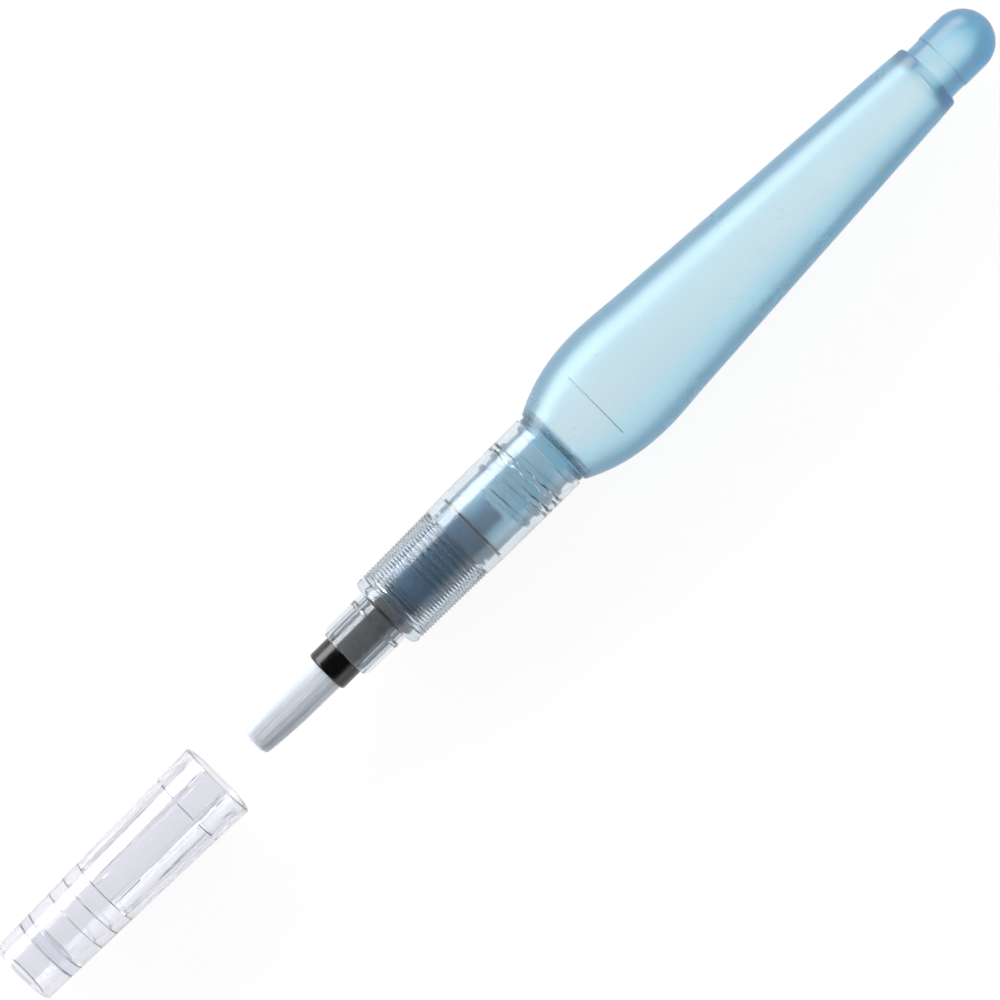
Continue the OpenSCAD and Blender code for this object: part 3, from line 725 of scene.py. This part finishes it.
def section_stations(size, x0, x1, sleeve_radius):
    """The grip section's half section as a loop: outside towards the tank, inside back."""
    soft, sleeve_soft = 0.12 * MM, 0.25 * MM
    grip = x0 + size.nose_length
    seal = reach("seal_ring")[0]
    outside = arc(x0 + soft, size.nose_radius - soft, soft, 180, 90, ribs=1)
    bead, bead_half = grip - size.bead_setback, 0.4 * MM
    outside += run(x0 + 2 * soft, size.nose_radius, bead - bead_half - HAIR, size.nose_radius, 10, ribs=1)
    for i in range(9):
        a = math.pi * i / 8
        rise = (size.bead_radius - size.nose_radius) * math.sin(a) ** 0.5
        outside.append(station(bead - bead_half * math.cos(a), size.nose_radius + rise, ribs=1))
    outside += run(bead + bead_half + HAIR, size.nose_radius, grip - HAIR, size.nose_radius, 4, ribs=1)
    outside += run(grip, size.nose_radius, grip, size.front_radius - size.shoulder - HAIR, 3)
    outside += arc(grip + size.shoulder, size.front_radius - size.shoulder, size.shoulder, 180, 90, 10)
    rings = grip + size.rings_start
    rings_end = rings + size.rings_length
    outside += run(rings, size.front_radius, rings_end, size.rear_radius, 6 * size.rings, rings=1)
    # A fine parting groove behind the rings, a smooth band, and a slope up to the sleeve
    groove, groove_half, groove_depth = rings_end + 0.3 * MM, 0.09 * MM, 0.08 * MM
    band, band_swell, slope = 0.6 * MM, 0.05 * MM, 3 * MM
    outside += [station(groove - groove_half, size.rear_radius),
                station(groove, size.rear_radius - groove_depth),
                station(groove + groove_half, size.rear_radius)]
    outside += run(rings_end + band, size.rear_radius, seal, size.rear_radius + band_swell, 6)
    outside += run(seal + slope, sleeve_radius, x1 - 2 * sleeve_soft, sleeve_radius, 20)
    outside += arc(x1 - sleeve_soft, sleeve_radius - sleeve_soft, sleeve_soft, 90, 0)
    # The bores, from the sleeve's mouth to the nose
    bore = size.sleeve_bore
    inside = arc(x1 - soft, bore + soft, soft, 0, -90, 3)
    inside += run(x1 - 2 * soft, bore, seal - soft, bore, 80, thread=-1)
    seat = seal - 2 * HAIR
    inside += run(seat, bore - HAIR, seat, size.plug_bore + soft, 2)
    inside += arc(seat - soft, size.plug_bore + soft, soft, 0, -90, 3)
    flange_play, flange_room = 0.1 * MM, 1.5 * MM
    plug_x = reach("brush_holder")[1] + flange_play
    inside += run(seat - 2 * soft, size.plug_bore, plug_x, size.plug_bore, 16)
    inside += run(plug_x, size.plug_bore - HAIR, plug_x, size.flange_bore, 2)
    flange_x = plug_x - flange_room
    inside += run(plug_x - HAIR, size.flange_bore, flange_x, size.flange_bore, 3)
    inside += run(flange_x, size.flange_bore - HAIR, flange_x, size.nose_bore, 3)
    inside += run(flange_x - HAIR, size.nose_bore, x0 + 2 * soft, size.nose_bore, 14)
    inside += arc(x0 + soft, size.nose_bore + soft, soft, 270, 180, 3)
    return outside + inside


def holder_stations(size):
    """The black holder's half section as a loop, with a rolled lip and a seated flange."""
    x0, x1, flange_radius = reach("brush_holder")
    radius, flange, soft = size.holder_radius, size.flange, 0.1 * MM
    bore, lip = radius - size.lip_wall, size.lip
    outside = arc(x0 + lip, radius - lip, lip, 180, 90, 10)
    outside += run(x0 + 2 * lip, radius, x1 - flange - soft, radius, 24)
    outside += run(x1 - flange, radius + soft, x1 - flange, flange_radius - soft, 2)
    outside += arc(x1 - flange + soft, flange_radius - soft, soft, 180, 90, 3)
    outside += arc(x1 - soft, flange_radius - soft, soft, 90, 0, 3)
    seat, seat_end = size.seat_radius, x1 - size.seat_depth
    inside = run(x1, seat + soft, x1, seat, 1)
    inside += run(x1 - soft, seat, seat_end, seat, 2)
    inside += run(seat_end - soft, bore, x0 + lip, bore, 16)
    inside.append(station(x0 + soft / 2, radius - lip - soft / 2))
    return outside + inside


def curve(points, t):
    """A cubic curve at t."""
    a, b, c, d = points
    return a * (1 - t) ** 3 + 3 * b * t * (1 - t) ** 2 + 3 * c * t * t * (1 - t) + d * t ** 3


def body_stations(size, start, side=0, face=0, belly_steps=28, taper_steps=16):
    """The tank's body, drawn in by its walls: one curve round the belly, then a straight taper."""
    taper = size.body_length - size.belly_length
    pull = size.belly_pull
    slope_w = (size.belly_width - size.tail_width) / taper
    slope_h = (size.belly_height - size.tail_height) / taper
    along = (0, size.front_pull, size.belly_length - pull, size.belly_length)
    wide = (size.front_width, size.crown_width, size.belly_width + slope_w * pull, size.belly_width)
    high = (size.front_height, size.crown_height, size.belly_height + slope_h * pull, size.belly_height)
    body = [Station(start + curve(along, t), curve(wide, t) - side, curve(high, t) - face)
            for t in (i / belly_steps for i in range(belly_steps + 1))]
    for i in range(1, taper_steps + 1):
        x = (taper - size.edge) * i / taper_steps
        body.append(Station(start + size.belly_length + x, size.belly_width - slope_w * x - side,
                            size.belly_height - slope_h * x - face))
    return body


def corner_stations(body, mouth, steps=8):
    """A rounded corner from the mouth in an end wall to the body's nearest ring."""
    rows = [mouth]
    for i in range(1, steps):
        a = math.pi / 2 * i / steps
        out = math.sin(a) ** 0.5
        rows.append(Station(mouth.x + (body.x - mouth.x) * (1 - math.cos(a)),
                            mouth.y + (body.y - mouth.y) * out, mouth.z + (body.z - mouth.z) * out))
    return rows


def shoulder_stations(neck, body, steps=10):
    """A blown shoulder that swells from the neck's bore into the body's nearest ring."""
    rows = []
    for i in range(steps):
        t = i / steps
        out = t * t * (3 - 2 * t)
        rows.append(Station(neck.x + (body.x - neck.x) * t,
                            neck.y + (body.y - neck.y) * out, neck.z + (body.z - neck.z) * out))
    return rows


def tank_stations(size):
    """The tank's wall as one chain: from the tip of the cavity to the neck, and back to the nub."""
    neck, end, _ = reach("tank")
    sleeve_end = reach("section")[1]
    body = sleeve_end + size.collar_gap
    step = body + size.body_length
    soft, seam = 0.25 * MM, 0.1 * MM
    # The nub's oval cavity, from its rounded tip to the body's cavity
    tip, bullet = end - size.nub_tip_wall, size.nub_tip_length
    wide, high = size.nub_cavity_width, size.nub_cavity_height
    chain = [station(tip, 0)]
    chain += [Station(tip - bullet * (1 - math.cos(a)), wide * math.sin(a), high * math.sin(a))
              for a in (math.radians(angle) for angle in range(10, 100, 10))]
    straight, throat = tip - bullet - 1 * MM, step - size.end_wall / 2
    chain += [Station(straight + (throat - straight) * i / 4, wide, high) for i in range(5)]
    inner = [s for s in body_stations(size, body, size.side_wall, size.face_wall)
             if body + 2 * size.shoulder < s.x < step - 2 * size.end_wall]
    # The body's cavity and the neck's bore, then the outside: neck, collar, body, tail step and nub
    mouth = Station(step - size.end_wall, wide + 0.2 * MM, high + 0.05 * MM)
    chain += corner_stations(inner[-1], mouth)
    chain += inner[::-1] + shoulder_stations(station(body - size.shoulder, size.neck_bore), inner[0])[::-1]
    chain += run(body - size.shoulder - soft, size.neck_bore, neck + soft, size.neck_bore, 16)
    chain += arc(neck + soft, size.neck_bore + soft, soft, 270, 180, 3)
    chain += arc(neck + soft, size.neck_radius - soft, soft, 180, 90, 4)
    pilot = sleeve_end - size.pilot_length
    chain += run(neck + 2 * soft, size.neck_radius, pilot, size.neck_radius, 100, thread=1)
    chain += run(pilot + soft, size.pilot_radius, sleeve_end + seam, size.pilot_radius, 3)
    chain += run(sleeve_end + seam + HAIR, size.collar_radius, body - HAIR, size.collar_radius, 3)
    chain.append(Station(body, size.front_width - size.edge / 2, size.front_height - size.edge / 4))
    outer = body_stations(size, body + size.edge / 4)
    chain += outer[:-1]
    for i in range(7):
        a = math.radians(15 * i)
        inset = size.edge * (1 - math.cos(a))
        chain.append(Station(step - size.edge * (1 - math.sin(a)), size.tail_width - inset,
                             size.tail_height - inset))
    thin = size.nub_radius - size.nub_neck
    chain += run(step + HAIR, thin + HAIR, step + size.nub_neck_length, thin, 6)
    dome = end - size.nub_radius
    chain += run(step + size.nub_neck_length + size.nub_neck, size.nub_radius, dome, size.nub_radius, 8)
    chain += arc(dome, 0, size.nub_radius, 82, 8, 10)
    return chain + [station(end, 0)]


def half_sizes(rows, x):
    """Half width and half height of a body at x, between its two nearest rings."""
    for a, b in zip(rows, rows[1:]):
        if a.x <= x <= b.x:
            t = (x - a.x) / (b.x - a.x)
            return a.y + t * (b.y - a.y), a.z + t * (b.z - a.z)
    raise ValueError("the fill line lies outside the tank's body")


def fill_line(size, material):
    """A thin printed bar across the tank's upper face, closed at both ends."""
    body = reach("section")[1] + size.collar_gap
    x = body + size.line_place
    wide, high = half_sizes(body_stations(size, body), x)
    limit = math.asin(size.line_reach / wide)
    steps, lift, depth = 48, 0.03 * MM, 0.015 * MM
    points, faces = [], []
    for i in range(steps + 1):
        a = math.pi / 2 - limit + 2 * limit * i / steps
        for dx, dr in ((-1, -depth), (1, -depth), (1, lift), (-1, lift)):
            points.append((x + dx * size.line_width / 2, (wide + dr) * math.cos(a),
                           (high + dr) * math.sin(a)))
    for i in range(steps):
        for j in range(4):
            k = (j + 1) % 4
            faces.append((4 * i + j, 4 * i + k, 4 * i + 4 + k, 4 * i + 4 + j))
    faces += [(0, 1, 2, 3), tuple(4 * steps + j for j in (3, 2, 1, 0))]
    mesh = bpy.data.meshes.new("fill_line")
    mesh.from_pydata(points, [], faces)
    piece = bpy.data.objects.new("fill_line", mesh)
    bpy.context.scene.collection.objects.link(piece)
    finish_piece(piece, material, "tank", "blue_tank")


# Operators


class PEN_OT_cap(bpy.types.Operator):
    """Make the clear cap with its inner grip ribs"""
    bl_idname = "brush_pen.cap"
    bl_label = "Cap"

    def execute(self, context):
        size = context.scene.pen_cap
        material = clear_polystyrene(size)
        top, root = rib_halves(size)
        x0, x1, _ = reach("cap")
        half_step = math.pi / size.ribs
        piece = shell("cap_shell", cap_stations(size), rib_angles(size.ribs, half_step, top, root))
        apply_trees(piece, [(ribs_tree(), {
            "Ribs": float(size.ribs), "Phase": half_step, "Radius": size.rib_radius,
            "Top Angle": top, "Root Angle": root,
            "Start": x0 + size.first_step + size.step_gap, "Start Ramp": 0.05 * MM,
            "End": x1 - size.rib_setback, "End Ramp": size.rib_fade, "Material": material})])
        finish_piece(piece, material, "cap", "clear_cap", "cap")
        return {"FINISHED"}


class PEN_OT_section(bpy.types.Operator):
    """Make the smoky grip section: ribbed nose, ringed grip and threaded sleeve"""
    bl_idname = "brush_pen.section"
    bl_label = "Grip section"

    def execute(self, context):
        size, tank, thread = context.scene.pen_section, context.scene.pen_tank, context.scene.pen_thread
        material = smoked_san(size)
        x0, x1, sleeve_radius = reach("section")
        top, root = rib_halves(size)
        piece = shell("section_shell", section_stations(size, x0, x1, sleeve_radius),
                      rib_angles(size.ribs, math.pi / 2, top, root), looped=True)
        rings = x0 + size.nose_length + size.rings_start
        # The sleeve's thread lies between two turns of the neck's
        sleeve_thread = reach("tank")[0] + tank.thread_setback + 1.5 * thread.pitch
        apply_trees(piece, [
            (ribs_tree(), {
                "Ribs": float(size.ribs), "Phase": math.pi / 2, "Radius": size.rib_radius,
                "Top Angle": top, "Root Angle": root, "Start": x0, "Start Ramp": size.rib_ramp,
                "End": x0 + size.nose_length, "End Ramp": HAIR / 2, "Material": material}),
            (rings_tree(), {
                "Start": rings, "Spacing": size.rings_length / size.rings, "Depth": size.ring_depth,
                "Material": material}),
            (thread_tree(), {
                "Start": sleeve_thread, "Turns": float(size.thread_turns),
                "Pitch": thread.pitch, "Height": size.sleeve_bore - size.crest_radius,
                "Base": thread.base, "Top": thread.top, "Material": material})])
        finish_piece(piece, material, "section", "smoky_section", "section")
        return {"FINISHED"}


class PEN_OT_brush(bpy.types.Operator):
    """Make the black holder, the tuft of filaments, and a solid core inside the tuft"""
    bl_idname = "brush_pen.brush"
    bl_label = "Brush"

    def execute(self, context):
        size = context.scene.pen_brush
        black = black_abs(size)
        holder = shell("holder_shell", holder_stations(size), even_angles(96), looped=True)
        finish_piece(holder, black, "section", "black_holder", "brush_holder")
        nylon = nylon_filament(size)
        tip, _, _ = reach("bristle_tuft")
        mouth = reach("brush_holder")[0]
        tuft = bpy.data.objects.new("bristles", bpy.data.meshes.new("bristles"))
        context.scene.collection.objects.link(tuft)
        apply_trees(tuft, [(tuft_tree(), {
            "Filaments": size.hairs, "Root": mouth + size.hidden, "Length": mouth + size.hidden - tip,
            "Root Radius": size.root_radius, "Tip Radius": size.tip_radius,
            "Filament Radius": size.hair_radius, "Raggedness": size.raggedness, "Stray": size.stray,
            "Seed": size.seed, "Material": nylon})])
        finish_piece(tuft, nylon, "section", "bristle", "bristle_tuft")
        inset, core_tip = 0.35 * MM, tip + 2 * MM
        core = [station(core_tip, 0), station(core_tip, size.tip_radius - 2 * inset)]
        core += run(core_tip + inset, size.tip_radius - inset, mouth - 5 * MM, size.root_radius - inset, 8)
        core += run(mouth, size.root_radius - inset, mouth + size.hidden, size.root_radius - inset, 4)
        core += [station(mouth + size.hidden, inset), station(mouth + size.hidden, 0)]
        finish_piece(shell("bristle_core", core, even_angles(48)), nylon, "section", "bristle")
        return {"FINISHED"}


class PEN_OT_water_path(bpy.types.Operator):
    """Finish the inner parts that the water passes"""
    bl_idname = "brush_pen.water_path"
    bl_label = "Water path"

    def execute(self, context):
        colours = context.scene.pen_water
        # Moulded polypropylene: waxy, dark, with a soft sheen
        paint_node("flow_plug", opaque_part("Polypropylene, injection moulded, slate", colours.plug[:],
                                            0.32, 1.5, 0.01, ior=1.49))
        # Filament ends melted together: a glassy, lumpy disc
        paint_node("tuft_heel", opaque_part("Nylon, fused", colours.heel[:], 0.4, 0.4, 0.03, ior=1.53))
        # Bonded polyester fibres that run along the wick
        paint_node("feed_wick", opaque_part("Polyester fibre, bonded", colours.wick[:], 0.8, 0.08, 0.02,
                                            stretch=0.1))
        # Moulded polypropylene again, in a lighter blue grey
        paint_node("plug_nozzle", opaque_part("Polypropylene, injection moulded, blue grey",
                                              colours.nozzle[:], 0.3, 1.2, 0.01, ior=1.49))
        # Pressed wool felt: matt, with a short tangled fibre
        paint_node("filter_disc", opaque_part("Wool felt, pressed", colours.felt[:], 0.95, 0.15, 0.06))
        # Nitrile rubber, compression moulded: matt black
        paint_node("seal_ring", opaque_part("Nitrile rubber, moulded", colours.rubber[:], 0.5, 0.3, 0.01,
                                            ior=1.52))
        return {"FINISHED"}


class PEN_OT_tank(bpy.types.Operator):
    """Make the squeeze tank with its threaded neck, and the fill line on it"""
    bl_idname = "brush_pen.tank"
    bl_label = "Tank"

    def execute(self, context):
        size, thread = context.scene.pen_tank, context.scene.pen_thread
        material = blown_polyethylene(size)
        piece = shell("tank_shell", tank_stations(size), even_angles(128))
        apply_trees(piece, [(thread_tree(), {
            "Start": reach("tank")[0] + size.thread_setback, "Turns": float(size.thread_turns),
            "Pitch": thread.pitch, "Height": size.crest_radius - size.neck_radius,
            "Base": thread.base, "Top": thread.top, "Material": material})])
        finish_piece(piece, material, "tank", "blue_tank", "tank")
        ink = opaque_part("Pad printing ink, grey", size.line[:], 0.6, 0.4, 0.004)
        fill_line(size, ink)
        return {"FINISHED"}


class PEN_OT_stage(bpy.types.Operator):
    """Lay the pale floor, hang the soft boxes, and set the camera straight above"""
    bl_idname = "brush_pen.stage"
    bl_label = "Stage"

    def execute(self, context):
        stage, scene = context.scene.pen_stage, context.scene
        side, under = 1.5, -0.05 * MM
        mesh = bpy.data.meshes.new("floor")
        mesh.from_pydata([(-side, -side, under), (side, -side, under), (side, side, under),
                          (-side, side, under)], [], [(0, 1, 2, 3)])
        mesh.materials.append(studio_floor(stage))
        floor = bpy.data.objects.new("floor", mesh)
        scene.collection.objects.link(floor)
        self.soft_box("key", (0, 0.3, 0.12), math.radians(97), (0.9, 0.22), stage.key)
        self.soft_box("fill", (0, -0.3, 0.1), math.radians(-97), (0.9, 0.16), stage.fill)
        diffuser = self.soft_box("top", (0, 0, 0.8), 0, (2.4, 2.4), stage.top)
        diffuser.visible_glossy = False
        self.light_room(stage)
        sensor = 36 * MM
        camera_data = bpy.data.cameras.new("camera")
        camera_data.sensor_width = sensor / MM
        camera_data.lens = sensor / MM * stage.distance / stage.view_width
        camera_data.clip_start, camera_data.clip_end = 0.01, 20
        camera = bpy.data.objects.new("camera", camera_data)
        camera.location = (stage.view_centre, 0, AXIS_Z + stage.distance)
        camera.rotation_euler = (0, 0, -stage.turn)
        scene.collection.objects.link(camera)
        scene.camera = camera
        scene.view_settings.view_transform = "Standard"
        return {"FINISHED"}

    @staticmethod
    def soft_box(name, place, tilt, size, brightness):
        """A soft box of a given brightness, turned about X to face the pen."""
        lamp = bpy.data.lights.new(name, "AREA")
        lamp.shape = "RECTANGLE"
        lamp.size, lamp.size_y = size
        lamp.energy = brightness * math.pi * size[0] * size[1]
        box = bpy.data.objects.new(name, lamp)
        box.location = place
        box.rotation_euler = (-tilt, 0, 0)
        box.visible_camera = False
        bpy.context.scene.collection.objects.link(box)
        return box

    @staticmethod
    def light_room(stage):
        """Walls as bright as the floor, a dimmer ceiling that keeps black parts black, and dark flags
        at both ends that draw the edges of clear plastic."""
        world = bpy.data.worlds.new("studio")
        world.use_nodes = True
        tree = world.node_tree
        tree.nodes.clear()
        way = add(tree, "ShaderNodeSeparateXYZ", {0: add(tree, "ShaderNodeTexCoord").outputs["Generated"]})
        along = add(tree, "ShaderNodeMath", {0: way.outputs["X"]}, operation="ABSOLUTE")
        flagged = add(tree, "ShaderNodeMapRange", {"Value": along, "From Min": 0.6, "From Max": 0.8},
                      interpolation_type="SMOOTHSTEP")
        raised = add(tree, "ShaderNodeMapRange", {"Value": way.outputs["Z"], "From Min": 0.25,
                                                  "From Max": 0.7}, interpolation_type="SMOOTHSTEP")
        walls = add(tree, "ShaderNodeMix", {0: flagged, 6: stage.horizon, 7: stage.flags}, data_type="RGBA")
        colour = add(tree, "ShaderNodeMix", {0: raised, 6: walls.outputs[2], 7: stage.ceiling},
                     data_type="RGBA")
        light = add(tree, "ShaderNodeBackground", {"Color": colour.outputs[2], "Strength": 1.0})
        add(tree, "ShaderNodeOutputWorld", {"Surface": light})
        bpy.context.scene.world = world


class PEN_PT_panel(bpy.types.Panel):
    """Buttons for each part of the pen"""
    bl_idname = "PEN_PT_panel"
    bl_label = "Water brush pen"
    bl_space_type = "VIEW_3D"
    bl_region_type = "UI"
    bl_category = "Water brush"

    def draw(self, context):
        for operator in OPERATORS:
            self.layout.operator(operator.bl_idname)
        for name in SETTINGS:
            group = getattr(context.scene, name)
            box = self.layout.box()
            for key in group.bl_rna.properties.keys():
                if key not in {"rna_type", "name"}:
                    box.prop(group, key)


SETTINGS = {
    "pen_cap": CapSettings,
    "pen_section": SectionSettings,
    "pen_brush": BrushSettings,
    "pen_water": WaterSettings,
    "pen_tank": TankSettings,
    "pen_thread": ThreadSettings,
    "pen_stage": StageSettings,
}
OPERATORS = (PEN_OT_stage, PEN_OT_tank, PEN_OT_section, PEN_OT_water_path, PEN_OT_brush, PEN_OT_cap)


def register():
    for name, group in SETTINGS.items():
        bpy.utils.register_class(group)
        setattr(bpy.types.Scene, name, PointerProperty(type=group))
    for operator in OPERATORS:
        bpy.utils.register_class(operator)
    bpy.utils.register_class(PEN_PT_panel)


def unregister():
    bpy.utils.unregister_class(PEN_PT_panel)
    for operator in reversed(OPERATORS):
        bpy.utils.unregister_class(operator)
    for name, group in reversed(SETTINGS.items()):
        delattr(bpy.types.Scene, name)
        bpy.utils.unregister_class(group)


def main():
    register()
    bpy.ops.brush_pen.stage()
    bpy.ops.brush_pen.tank()
    bpy.ops.brush_pen.section()
    bpy.ops.brush_pen.water_path()
    bpy.ops.brush_pen.brush()
    bpy.ops.brush_pen.cap()


if __name__ == "__main__":
    main()
